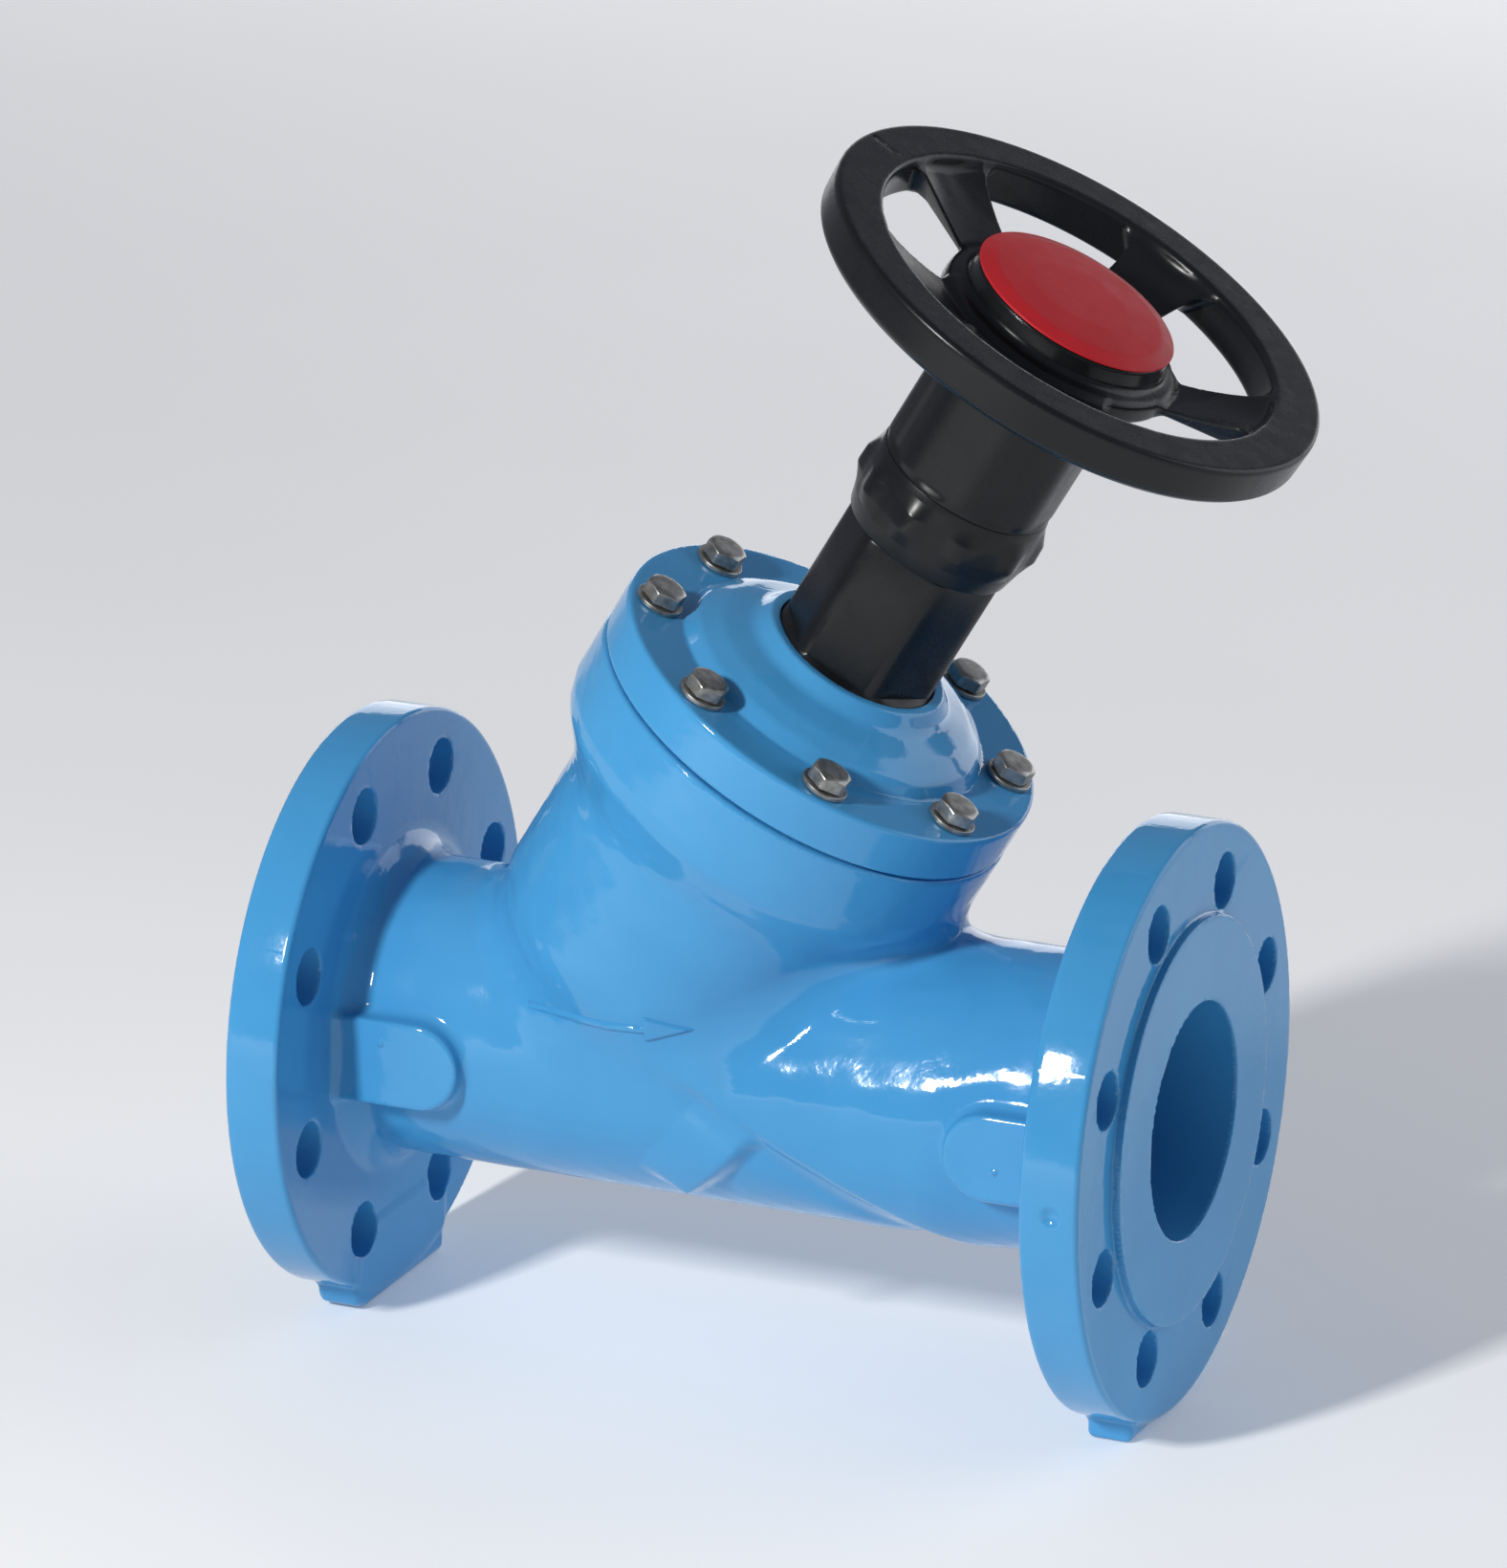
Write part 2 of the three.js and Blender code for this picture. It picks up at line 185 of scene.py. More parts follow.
def contour(f, lo, hi, h, e=0.12):
    """Dual contouring of f = 0 in a box, on the cells near the surface."""
    lo = np.array(lo, float)
    n = (np.ceil((np.array(hi, float) - lo) / (4 * h)).astype(int)) * 4
    big = 4 * h
    axes = [lo[i] + (np.arange(n[i] // 4) + 0.5) * big for i in range(3)]
    c = np.stack(np.meshgrid(*axes, indexing="ij"), -1).reshape(-1, 3).astype(np.float32)
    d = evaluate(f, c).reshape(n // 4)
    cells = np.repeat(np.repeat(np.repeat(d, 4, 0), 4, 1), 4, 2)
    F = np.ones(n + 1, np.float32)
    F[:-1, :-1, :-1] = np.where(cells < 0, -1, 1)
    near = np.abs(cells) < big * 0.8661 + 0.6 * h
    M = np.zeros(n + 1, bool)
    for a in (slice(None, -1), slice(1, None)):
        for b in (slice(None, -1), slice(1, None)):
            for g in (slice(None, -1), slice(1, None)):
                M[a, b, g] |= near
    ijk = np.argwhere(M)
    F[M] = evaluate(f, (lo + ijk * h).astype(np.float32))
    P, G, cell_ids, quads = [], [], [], []
    ny, nz = n[1] + 1, n[2] + 1
    for ax in range(3):
        a = [slice(None)] * 3
        b = [slice(None)] * 3
        a[ax], b[ax] = slice(None, -1), slice(1, None)
        F0, F1 = F[tuple(a)], F[tuple(b)]
        m = (F0 < 0) != (F1 < 0)
        o1, o2 = (ax + 1) % 3, (ax + 2) % 3
        e0 = np.argwhere(m)
        keep = (e0[:, o1] > 0) & (e0[:, o2] > 0) & (e0[:, o1] < n[o1]) & (e0[:, o2] < n[o2])
        f0, f1 = F0[m].astype(float)[keep], F1[m].astype(float)[keep]
        e0 = e0[keep]
        t0, t1 = np.zeros(len(e0)), np.ones(len(e0))
        g0, g1 = f0.copy(), f1.copy()
        for _ in range(2):
            t = t0 + (t1 - t0) * g0 / (g0 - g1)
            p = lo + e0 * h
            p[:, ax] += t * h
            v = evaluate(f, p)
            same = (v < 0) == (g0 < 0)
            t0, g0 = np.where(same, t, t0), np.where(same, v, g0)
            t1, g1 = np.where(same, t1, t), np.where(same, g1, v)
            g0 = np.where(np.abs(g0 - g1) < 1e-9, g0 - 1e-9, g0)
        t = t0 + (t1 - t0) * np.clip(g0 / (g0 - g1), 0, 1)
        p = lo + e0 * h
        p[:, ax] += t * h
        P.append(p)
        G.append(gradient(f, p, e))
        corner = []
        for s1, s2 in ((1, 1), (0, 1), (0, 0), (1, 0)):
            q = e0.copy()
            q[:, o1] -= s1
            q[:, o2] -= s2
            corner.append((q[:, 0] * ny + q[:, 1]) * nz + q[:, 2])
        corner = np.stack(corner, 1)
        flip = ~(f0 < 0)
        corner[flip] = corner[flip][:, ::-1]
        cell_ids.append(corner)
    P, G, corner = np.concatenate(P), np.concatenate(G), np.concatenate(cell_ids)
    ids, inv = np.unique(corner.ravel(), return_inverse=True)
    inv = inv.reshape(corner.shape)
    k = len(ids)
    rep = np.repeat(np.arange(len(P)), 4)
    flat = inv.ravel()
    cnt = np.bincount(flat, minlength=k).astype(float)
    mass = np.stack([np.bincount(flat, P[rep, i], k) for i in range(3)], 1) / cnt[:, None]
    A = np.zeros((k, 3, 3))
    for i in range(3):
        for j in range(i, 3):
            A[:, i, j] = A[:, j, i] = np.bincount(flat, G[rep, i] * G[rep, j], k)
    off = np.einsum("ij,ij->i", G[rep], P[rep] - mass[flat])
    B = np.stack([np.bincount(flat, G[rep, i] * off, k) for i in range(3)], 1)
    A += np.eye(3) * 0.03 * cnt[:, None, None] / 4
    x = mass + np.linalg.solve(A, B[:, :, None])[:, :, 0]
    i0 = ids // (ny * nz)
    i1 = (ids // nz) % ny
    i2 = ids % nz
    base = lo + np.stack([i0, i1, i2], 1) * h
    x = np.clip(x, base + 0.02 * h, base + 0.98 * h)
    x = project(f, x, e, 0.3 * h)
    q = inv
    d1 = np.linalg.norm(x[q[:, 0]] - x[q[:, 2]], axis=1)
    d2 = np.linalg.norm(x[q[:, 1]] - x[q[:, 3]], axis=1)
    s = (d1 <= d2)[:, None]
    tri = np.concatenate([np.where(s, q[:, [0, 1, 2]], q[:, [0, 1, 3]]),
                          np.where(s, q[:, [0, 2, 3]], q[:, [1, 2, 3]])])
    return x, tri


def project(f, x, e, cap):
    g = gradient(f, x, e)
    v = evaluate(f, x)
    return x - np.clip(v, -cap, cap)[:, None] * g


def mesh_of(name, verts, tris):
    me = bpy.data.meshes.new(name)
    me.vertices.add(len(verts))
    me.vertices.foreach_set("co", np.ascontiguousarray(verts, np.float32).ravel())
    me.loops.add(3 * len(tris))
    me.loops.foreach_set("vertex_index", np.ascontiguousarray(tris, np.int32).ravel())
    me.polygons.add(len(tris))
    me.polygons.foreach_set("loop_start", np.arange(0, 3 * len(tris), 3, dtype=np.int32))
    me.update(calc_edges=True)
    me.validate()
    return me


def link(name, me):
    ob = bpy.data.objects.new(name, me)
    bpy.context.scene.collection.objects.link(ob)
    return ob


def cast_piece(name, f, lo, hi, h, faces, R, T, e=0.12, nudge=0.9):
    """A mesh of f = 0, thinned to about that many faces, its shading taken
    from the shape itself."""
    x, tri = contour(f, lo, hi, h, e)
    me = mesh_of(name, x, tri)
    ob = link(name, me)
    if len(tri) > faces:
        m = ob.modifiers.new("thin", "DECIMATE")
        m.ratio = faces / len(tri)
        dg = bpy.context.evaluated_depsgraph_get()
        me2 = bpy.data.meshes.new_from_object(ob.evaluated_get(dg))
        ob.modifiers.clear()
        ob.data = me2
        bpy.data.meshes.remove(me)
        me = me2
    n = len(me.vertices)
    co = np.empty(3 * n, np.float32)
    me.vertices.foreach_get("co", co)
    co = co.reshape(-1, 3).astype(float)
    co = project(f, co, e, 0.15 * h)
    lv = np.empty(len(me.loops), np.int32)
    me.loops.foreach_get("vertex_index", lv)
    t = lv.reshape(-1, 3)
    centre = co[t].mean(1)
    nv = gradient(f, co, e)
    corner = co[t]
    to = centre[:, None, :] - corner
    length = np.maximum(np.linalg.norm(to, axis=2, keepdims=True), 1e-9)
    q = corner + to * np.minimum(0.4, nudge / length)
    nq = gradient(f, q.reshape(-1, 3), e).reshape(-1, 3, 3)
    vn = nv[t]
    agree = (vn * nq).sum(2, keepdims=True) > math.cos(math.radians(14))
    out = np.where(agree, vn, nq).reshape(-1, 3)
    world = (co @ R.T + T) * 0.001
    me.vertices.foreach_set("co", world.astype(np.float32).ravel())
    me.update()
    me.shade_smooth()
    out = out @ R.T
    me.normals_split_custom_set(out.tolist())
    print(name, len(tri), "->", len(me.polygons))
    return ob


def turn_piece(name, points, R, T, segs=128, closed=True, warp=None):
    """A turned mesh about the local z axis. Normals come from the profile.
    warp(r, z, angle) may bend the radius."""
    prof = rounded(points, closed, 0.8)
    ang = np.arange(segs) * 2 * math.pi / segs
    ca, sa = np.cos(ang), np.sin(ang)
    pts = [s[0] for s in prof] + ([] if closed else [prof[-1][1]])
    rows, verts = [], []
    for p in pts:
        if p[0] < 1e-6:
            rows.append([len(verts)])
            verts.append((0.0, 0.0, p[1]))
        else:
            rows.append(list(range(len(verts), len(verts) + segs)))
            r = np.full(segs, p[0]) if warp is None else warp(np.full(segs, p[0]), p[1], ang)
            verts += list(zip(r * ca, r * sa, np.full(segs, p[1])))
    faces, normals = [], []
    m = len(pts)
    for i, (p0, p1, n0, n1) in enumerate(prof):
        a, b = rows[i], rows[(i + 1) % m]
        if len(a) == 1 and len(b) == 1:
            continue
        for k in range(segs):
            l = (k + 1) % segs
            N = lambda nn, j: (nn[0] * ca[j], nn[0] * sa[j], nn[1])
            if len(a) == 1:
                faces.append((a[0], b[l], b[k]))
                normals += [N(n0, k), N(n1, l), N(n1, k)]
            elif len(b) == 1:
                faces.append((a[k], a[l], b[0]))
                normals += [N(n0, k), N(n0, l), N(n1, k)]
            else:
                faces.append((a[k], a[l], b[l], b[k]))
                normals += [N(n0, k), N(n0, l), N(n1, l), N(n1, k)]
    v = (np.array(verts) @ R.T + T) * 0.001
    me = bpy.data.meshes.new(name)
    me.from_pydata(v.tolist(), [], faces)
    me.update()
    me.shade_smooth()
    if warp is None:
        me.normals_split_custom_set((np.array(normals) @ R.T).tolist())
    else:
        me.set_sharp_from_angle(angle=math.radians(28))
    return link(name, me)


def loft_piece(name, rings, R, T, sharp=30, closed=False):
    """A mesh through rings of points (k, n, 3); with closed the last joins
    the first, otherwise both ends are capped."""
    rings = np.array(rings, float)
    k, n = rings.shape[:2]
    verts = rings.reshape(-1, 3)
    faces = []
    for i in range(k if closed else k - 1):
        a, b = i * n, ((i + 1) % k) * n
        for j in range(n):
            l = (j + 1) % n
            faces.append((a + j, a + l, b + l, b + j))
    if not closed:
        faces.append(tuple(range(n))[::-1])
        faces.append(tuple(range((k - 1) * n, k * n)))
    v = (verts @ R.T + T) * 0.001
    me = bpy.data.meshes.new(name)
    me.from_pydata(v.tolist(), [], faces)
    me.update()
    me.shade_smooth()
    me.set_sharp_from_angle(angle=math.radians(sharp))
    return link(name, me)


# ---------------------------------------------------------------- materials
class Nodes:
    def __init__(self, name):
        self.m = bpy.data.materials.new(name)
        self.m.use_nodes = True
        self.t = self.m.node_tree
        self.p = self.t.nodes["Principled BSDF"]
        self.pos = self.t.nodes.new("ShaderNodeTexCoord").outputs["Object"]

    def noise(self, scale, detail=3.0, rough=0.5, stretch=None):
        n = self.t.nodes.new("ShaderNodeTexNoise")
        n.inputs["Scale"].default_value = scale
        n.inputs["Detail"].default_value = detail
        n.inputs["Roughness"].default_value = rough
        src = self.pos
        if stretch is not None:
            mp = self.t.nodes.new("ShaderNodeMapping")
            mp.inputs["Rotation"].default_value = stretch[1]
            mp.inputs["Scale"].default_value = stretch[0]
            self.t.links.new(src, mp.inputs["Vector"])
            src = mp.outputs["Vector"]
        self.t.links.new(src, n.inputs["Vector"])
        return n.outputs["Fac"]

    def voronoi(self, scale):
        n = self.t.nodes.new("ShaderNodeTexVoronoi")
        n.feature = "SMOOTH_F1"
        n.inputs["Scale"].default_value = scale
        n.inputs["Smoothness"].default_value = 1.0
        self.t.links.new(self.pos, n.inputs["Vector"])
        return n.outputs["Distance"]

    def span(self, src, a, b, lo, hi):
        n = self.t.nodes.new("ShaderNodeMapRange")
        n.inputs["From Min"].default_value = a
        n.inputs["From Max"].default_value = b
        n.inputs["To Min"].default_value = lo
        n.inputs["To Max"].default_value = hi
        self.t.links.new(src, n.inputs["Value"])
        return n.outputs["Result"]

    def ramp(self, src, stops):
        n = self.t.nodes.new("ShaderNodeValToRGB")
        r = n.color_ramp
        while len(r.elements) < len(stops):
            r.elements.new(0.5)
        for el, (pos, col) in zip(r.elements, stops):
            el.position = pos
            el.color = (*col, 1.0)
        self.t.links.new(src, n.inputs["Fac"])
        return n.outputs["Color"]

    def bump(self, src, strength, distance, before=None):
        n = self.t.nodes.new("ShaderNodeBump")
        n.inputs["Strength"].default_value = strength
        n.inputs["Distance"].default_value = distance
        self.t.links.new(src, n.inputs["Height"])
        if before is not None:
            self.t.links.new(before, n.inputs["Normal"])
        return n.outputs["Normal"]

    def to(self, src, socket):
        self.t.links.new(src, self.p.inputs[socket])

    def put(self, **values):
        for k, v in values.items():
            self.p.inputs[k.replace("_", " ")].default_value = v


def lin(*rgb):
    return tuple(((c / 255 + 0.055) / 1.055) ** 2.4 if c > 10 else c / 255 / 12.92 for c in rgb)


def blue_epoxy():
    n = Nodes("blue_epoxy")
    tone = n.noise(9.0, 4.0, 0.6)
    n.to(n.ramp(tone, [(0.30, (0.051, 0.284, 0.575)), (0.52, (0.061, 0.312, 0.615)), (0.72, (0.073, 0.340, 0.655))]), "Base Color")
    n.to(n.span(n.noise(60.0, 3.0), 0.3, 0.7, 0.055, 0.115), "Roughness")
    peel = n.bump(n.noise(420.0, 2.0, 0.4), 0.07, 0.0005)
    cast = n.bump(n.noise(85.0, 3.0, 0.5), 0.12, 0.0012, peel)
    n.to(cast, "Normal")
    n.put(IOR=1.48)
    return n.m


def black_plastic():
    n = Nodes("black_plastic")
    n.to(n.ramp(n.noise(26.0, 4.0), [(0.3, (0.0072, 0.0083, 0.0097)), (0.7, (0.0108, 0.0120, 0.0137))]), "Base Color")
    n.to(n.span(n.noise(140.0, 4.0, 0.6), 0.3, 0.7, 0.22, 0.32), "Roughness")
    fine = n.bump(n.noise(900.0, 2.0), 0.03, 0.0002)
    n.to(n.bump(n.noise(60.0, 2.0), 0.03, 0.0008, fine), "Normal")
    n.put(IOR=1.45, Specular_IOR_Level=0.30)
    return n.m


def red_plastic():
    n = Nodes("red_plastic")
    n.to(n.ramp(n.noise(30.0, 4.0), [(0.3, (0.490, 0.016, 0.022)), (0.7, (0.560, 0.022, 0.029))]), "Base Color")
    n.to(n.span(n.noise(160.0, 3.0), 0.3, 0.7, 0.38, 0.50), "Roughness")
    n.to(n.bump(n.noise(800.0, 2.0), 0.08, 0.0003), "Normal")
    n.put(IOR=1.45, Specular_IOR_Level=0.22)
    return n.m


def zinc():
    n = Nodes("zinc_plate")
    spots = n.noise(240.0, 5.0, 0.65)
    n.to(n.ramp(spots, [(0.25, lin(108, 106, 101)), (0.5, lin(150, 149, 145)), (0.75, lin(186, 186, 184))]), "Base Color")
    n.to(n.span(n.noise(520.0, 4.0, 0.6), 0.25, 0.75, 0.26, 0.52), "Roughness")
    n.to(n.bump(n.noise(700.0, 4.0, 0.6), 0.22, 0.0004), "Normal")
    n.put(Metallic=0.85)
    return n.m


def stainless():
    n = Nodes("turned_stainless")
    n.to(n.ramp(n.noise(180.0, 3.0), [(0.3, lin(160, 162, 164)), (0.7, lin(190, 192, 194))]), "Base Color")
    lines = n.noise(1.0, 3.0, 0.6, ((60.0, 60.0, 2600.0), (0.0, TILT, 0.0)))
    n.to(n.span(lines, 0.3, 0.7, 0.18, 0.34), "Roughness")
    n.to(n.bump(lines, 0.12, 0.0003), "Normal")
    n.put(Metallic=1.0)
    return n.m


def brass():
    n = Nodes("turned_brass")
    n.to(n.ramp(n.noise(150.0, 4.0), [(0.3, lin(160, 124, 62)), (0.7, lin(190, 152, 84))]), "Base Color")
    lines = n.noise(1.0, 3.0, 0.6, ((60.0, 60.0, 2400.0), (0.0, TILT, 0.0)))
    n.to(n.span(lines, 0.3, 0.7, 0.22, 0.40), "Roughness")
    n.to(n.bump(lines, 0.12, 0.0003), "Normal")
    n.put(Metallic=1.0)
    return n.m


def rubber():
    n = Nodes("black_rubber")
    n.to(n.ramp(n.noise(120.0, 4.0), [(0.3, lin(22, 22, 23)), (0.7, lin(34, 34, 35))]), "Base Color")
    n.to(n.span(n.noise(300.0, 3.0), 0.3, 0.7, 0.62, 0.82), "Roughness")
    n.to(n.bump(n.noise(1200.0, 3.0), 0.25, 0.0003), "Normal")
    return n.m


BLUE, BLACK, RED, ZINC = blue_epoxy(), black_plastic(), red_plastic(), zinc()
STEEL, BRASS, RUBBER = stainless(), brass(), rubber()


def place(ob, body, material, *nodes):
    ob.data.materials.clear()
    ob.data.materials.append(material)
    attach(ob, body)
    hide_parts(*nodes)
    return ob


# ---------------------------------------------------------------- body casting
RUN = Turned([(-30, -20), (50.8, -20), (50.8, 133, 11), (100, 133, 1.8), (100, 152, 1.8),
              (69, 152, 0.8), (69, 155, 0.7), (-30, 155)], (-32, -22), (104, 160))
BRANCH = Turned([(-30, 4), (39, 4, 26), (62.5, 33, 26), (62.5, 87.5, 30), (75, 106.5, 14),
                 (76.5, 113, 6), (76.5, 133.7, 1.4), (-30, 133.7)], (-32, 0), (80, 138))
CAVITY = Turned([(-30, 2), (38, 2), (38, 15.7), (45.3, 15.7), (45.3, 26), (47, 26), (52, 36, 6),
                 (52, 132.7), (60.5, 132.7), (60.5, 146), (-30, 146)], (-32, -2), (64, 150))


def fold(angle, n, off=0.0):
    """Angle from the middle of the nearest of n equal sectors' holes."""
    w = 2 * math.pi / n
    return np.mod(angle - off, w) - w / 2


def body_shape(x, y, z):
    ax = np.abs(x)
    rx = np.hypot(y, z)
    s = (x - STEM_X) * SX + z * SZ
    xp = (x - STEM_X) * SZ - z * SX
    rho = np.hypot(xp, y)
    # the outlet flange is a little thicker, and hangs lower towards the near side
    low = np.arctan2(y, -z)
    out = (x > 100) * smooth((rx - 84) / 12.0)
    hang = 1.5 * smooth((low + 1.4) / 1.0) * smooth((0.66 - low) / 0.6)
    thick = 1.5 * smooth((139.5 - ax) / 6.0) * smooth((ax - 108) / 10.0)
    run = RUN(rx - hang * out, ax + thick * (x > 100))
    near = smooth((-y + 6) / 14.0)
    th = np.arctan2(-z, np.maximum(-y, 1e-3))
    # the outlet side of the run stands proud of the bridge wall along a soft ridge
    span = near * smooth((x + 24) / 26.0) * smooth((104 - x) / 30.0) * smooth((th + 0.55) / 0.5)
    step = 2.5 * smooth((s - 24.5) / 6.0) - 1.5 * np.exp(-((s - 21.0) / 5.0) ** 2)
    shell = smooth((64 - rx) / 10.0) * smooth((rx - 43) / 5.0)
    run = run - step * span * shell
    # flat-topped boss below it, its crest towards the outlet
    qx, qy, qz = x - 14.9, y + 50.5, z + 10.0
    t1 = (-0.646 * qx + 0.377 * qy - 0.663 * qz) / 42.7
    w = 0.763 * qx + 0.313 * qy - 0.566 * qz
    ramp = np.clip((w + 19.0) / 19.0, 0, 1)
    boss = 4.2 * np.where(w < 0, ramp, 1 - smooth(w / (9.0 - 4.0 * np.clip(t1, 0, 1))))
    boss = boss * smooth((t1 + 0.10) / 0.14) * smooth((1.12 - t1) / 0.22) * near * shell
    run = run - boss
    f = runion(run, BRANCH(rho, s), 13.0)
    # feet
    mid, half = np.where(x > 0, -12.0, 0.0), np.where(x > 0, 23.0, 35.0)
    foot = rbox(ax, (y - mid) * 35.0 / half, z, 140.8, 0.0, -88.0, 7.8, 35.0, 15.0, 2.2) * np.where(x > 0, 0.7, 1.0)
    foot = np.where(x > 0, foot, rmeet(foot, (-y - 35.0) * 0.62 + (-z - 99.8) * 0.78, 3.0))
    f = runion(f, foot, 2.5)
    # gauge pads on the near side
    px = np.maximum(102.5 - ax, 0) + np.maximum(ax - 134, 0)
    pad = np.hypot(px, z + 3.0) - 15.0 - 0.07 * (y + 56.5)
    pad = rmeet(pad, -56.5 - y, 1.5)
    pad = np.maximum(pad, y + 30)
    f = runion(f, pad, 2.6)
    # small cast pips beside the pads
    f = runion(f, np.sqrt((x + 115) ** 2 + (y + 56.4) ** 2 + (z - 4) ** 2) - 1.0, 0.6)
    f = runion(f, np.sqrt((x - 106) ** 2 + ((y + 56.2)) ** 2 + (z + 7) ** 2) - 1.2, 0.6)
    # unevenness of the cast skin, away from the machined faces
    w = smooth((132 - ax) / 6.0) * smooth((132 - s) / 6.0)
    f = f + w * (0.10 * np.sin(x * 0.23 + 1.3 * np.sin(z * 0.11)) * np.sin(y * 0.19 + z * 0.13 + 0.7)
                 + 0.06 * np.sin(z * 0.41 + x * 0.17) * np.sin(y * 0.37 - x * 0.29 + 2.1))
    # ways through
    bore = rx - 40.0
    cav = runion(np.maximum(bore, s - 14.0), CAVITY(rho, s), 2.0)
    cav = np.minimum(cav, np.maximum(bore, 26.0 - s))
    f = rcut(f, cav, 0.9)
    # flange holes
    ph = fold(np.arctan2(y, z), 8)
    hole = np.hypot(rx * np.cos(ph) - 80.0, rx * np.sin(ph)) - 9.5
    f = rcut(f, np.maximum(hole, 127.0 - ax), 0.8)
    # tapped holes for the bonnet screws
    ph = fold(np.arctan2(y, xp), 8)
    hole = np.hypot(rho * np.cos(ph) - 65.7, rho * np.sin(ph)) - 4.3
    f = rcut(f, np.maximum(hole, 116.0 - s), 0.3)
    # dimple on the outlet flange's rim
    dimple = np.sqrt((x - 142.9) ** 2 + (y + 102.6) ** 2 + (z + 2.0) ** 2) - 4.2
    f = rcut(f, dimple, 0.6)
    return f


H = 1.5
body = cast_piece("body_casting", body_shape, (-158.37, -103.43, -106.29), (158, 103, 160),
                  H, 186000, PIPE_R, PIPE_T)
place(body, "root", BLUE, "body")


def arrow_outline(x, z):
    """2D distance to a plain arrow that points to the outlet."""
    qx, qz = np.abs(x + 40.0) - 24.0, np.abs(z) - 1.05
    bar = np.hypot(np.maximum(qx, 0), np.maximum(qz, 0)) + np.minimum(np.maximum(qx, qz), 0)
    head = np.maximum((x + 2.5) * 0.27 + np.abs(z) * 0.963, -(x + 17.5))
    return np.minimum(bar, head)


def relief(name, x0, x1, z0, z1, zc, step):
    """The arrow, raised from the casting's near side, closed behind."""
    gx, gz = np.arange(x0, x1 + step / 2, step), np.arange(z0, z1 + step / 2, step)
    X, Z = [a.ravel() for a in np.meshgrid(gx, gz, indexing="ij")]
    p = np.stack([X, np.full(X.shape, -72.0), Z], 1)
    for _ in range(14):
        p[:, 1] += evaluate(body_shape, p) * 0.95
    d = arrow_outline(X, Z - zc - 0.04 * (X + 35.0))
    height = -0.5 + 1.65 * smooth((0.75 - d) / 1.2)
    g = gradient(body_shape, p, 1.2)
    v = p + g * height[:, None]
    back = p - g * 0.9
    nx, nz = len(gx), len(gz)
    keep = (height > -0.45).reshape(nx, nz)
    cell = keep[:-1, :-1] | keep[1:, :-1] | keep[:-1, 1:] | keep[1:, 1:]
    idx = np.arange(nx * nz).reshape(nx, nz)
    n = nx * nz
    faces = []
    for i, j in np.argwhere(cell):
        a, b, c, e = idx[i, j], idx[i + 1, j], idx[i + 1, j + 1], idx[i, j + 1]
        faces.append((a, b, c, e))
        faces.append((n + e, n + c, n + b, n + a))
        for (u, w2), (ii, jj) in (((a, b), (i, j - 1)), ((b, c), (i + 1, j)), ((c, e), (i, j + 1)), ((e, a), (i - 1, j))):
            if not (0 <= ii < cell.shape[0] and 0 <= jj < cell.shape[1] and cell[ii, jj]):
                faces.append((w2, u, n + u, n + w2))
    pts = (np.concatenate([v, back]) @ PIPE_R.T + PIPE_T) * 0.001
    used = sorted(set(k for fc in faces for k in fc))
    new = {k: i for i, k in enumerate(used)}
    me = bpy.data.meshes.new(name)
    me.from_pydata(pts[used].tolist(), [], [[int(new[k]) for k in fc] for fc in faces])
    me.update()
    me.shade_smooth()
    me.set_sharp_from_angle(angle=math.radians(50))
    return link(name, me)


arrow = relief("flow_arrow_relief", -68.0, 0.0, 16.0, 33.0, 24.6, 0.45)
arrow.data.materials.append(BLUE)
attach(arrow, "root")

# ---------------------------------------------------------------- bonnet
BONNET = Turned([(16.1, 126), (24, 126, 1.5), (27, 140, 3), (44, 140, 3), (46, 126, 1), (51.6, 126, 1),
                 (51.6, 134.7), (76.3, 134.7, 0.8), (76.3, 151.2, 1.5), (55.8, 151.2, 1.2), (52.8, 156.0, 6),
                 (46.0, 160.0, 16), (36.2, 163.2, 7), (32.2, 168.4, 1.4), (28.9, 168.4, 0.4),
                 (28.9, 160), (16.1, 160)], (0, 122), (82, 172))


def bonnet_shape(x, y, z):
    r = np.hypot(x, y)
    f = BONNET(r, z)
    ph = fold(np.arctan2(y, x), 8)
    hole = np.hypot(r * np.cos(ph) - 65.7, r * np.sin(ph)) - 4.6
    f = f + 0.07 * smooth((z - 151) / 4) * np.sin(x * 0.21 + 1.0) * np.sin(y * 0.24 + x * 0.08)
    return rcut(f, hole, 0.3)


bonnet = cast_piece("bonnet_casting", bonnet_shape, (-79, -79, 123), (79, 79, 172),
                    1.15, 90000, STEM_R, STEM_T)
place(bonnet, "root", BLUE, "bonnet")

# ---------------------------------------------------------------- bolts, washers
BOLT_PCR = 65.7


